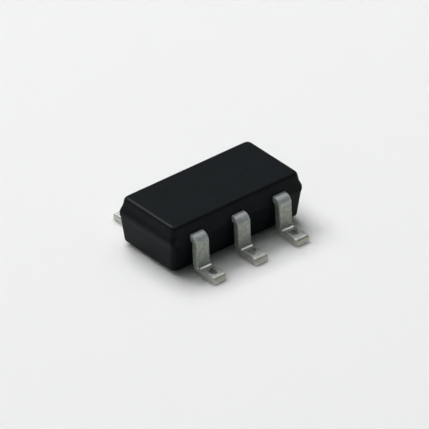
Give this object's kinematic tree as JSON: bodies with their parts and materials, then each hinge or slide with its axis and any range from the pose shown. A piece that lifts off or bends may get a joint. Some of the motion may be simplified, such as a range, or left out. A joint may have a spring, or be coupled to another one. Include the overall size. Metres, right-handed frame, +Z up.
{
  "type": "surface-mount mosfet",
  "caption": "Small black moulded power switch transistor with bent, tin-plated solder leads on both long sides, for soldering flat onto a circuit board.",
  "frame": {"origin": "on the seating plane, under the middle of the package", "axes": "+X along the body, in the direction of the gate and source end; +Y across it, from the side of the gate lead to the side of the source lead; +Z up from the circuit board"},
  "size_m": [0.003, 0.0028, 0.001],
  "materials": {
    "moulding": "matte",
    "plated_copper": "satin",
    "solder": "satin",
    "silicon": "gloss",
    "gold": "satin"
  },
  "bodies": {
    "root": {"mould_body": "moulding", "drain_leadframe": "plated_copper", "gate_lead": "plated_copper", "source_lead": "plated_copper", "die_attach": "solder", "silicon_die": "silicon", "gate_bond_wire": "gold", "source_bond_wire_1": "gold", "source_bond_wire_2": "gold", "source_bond_wire_3": "gold", "source_bond_wire_4": "gold"}
  },
  "joints": []
}
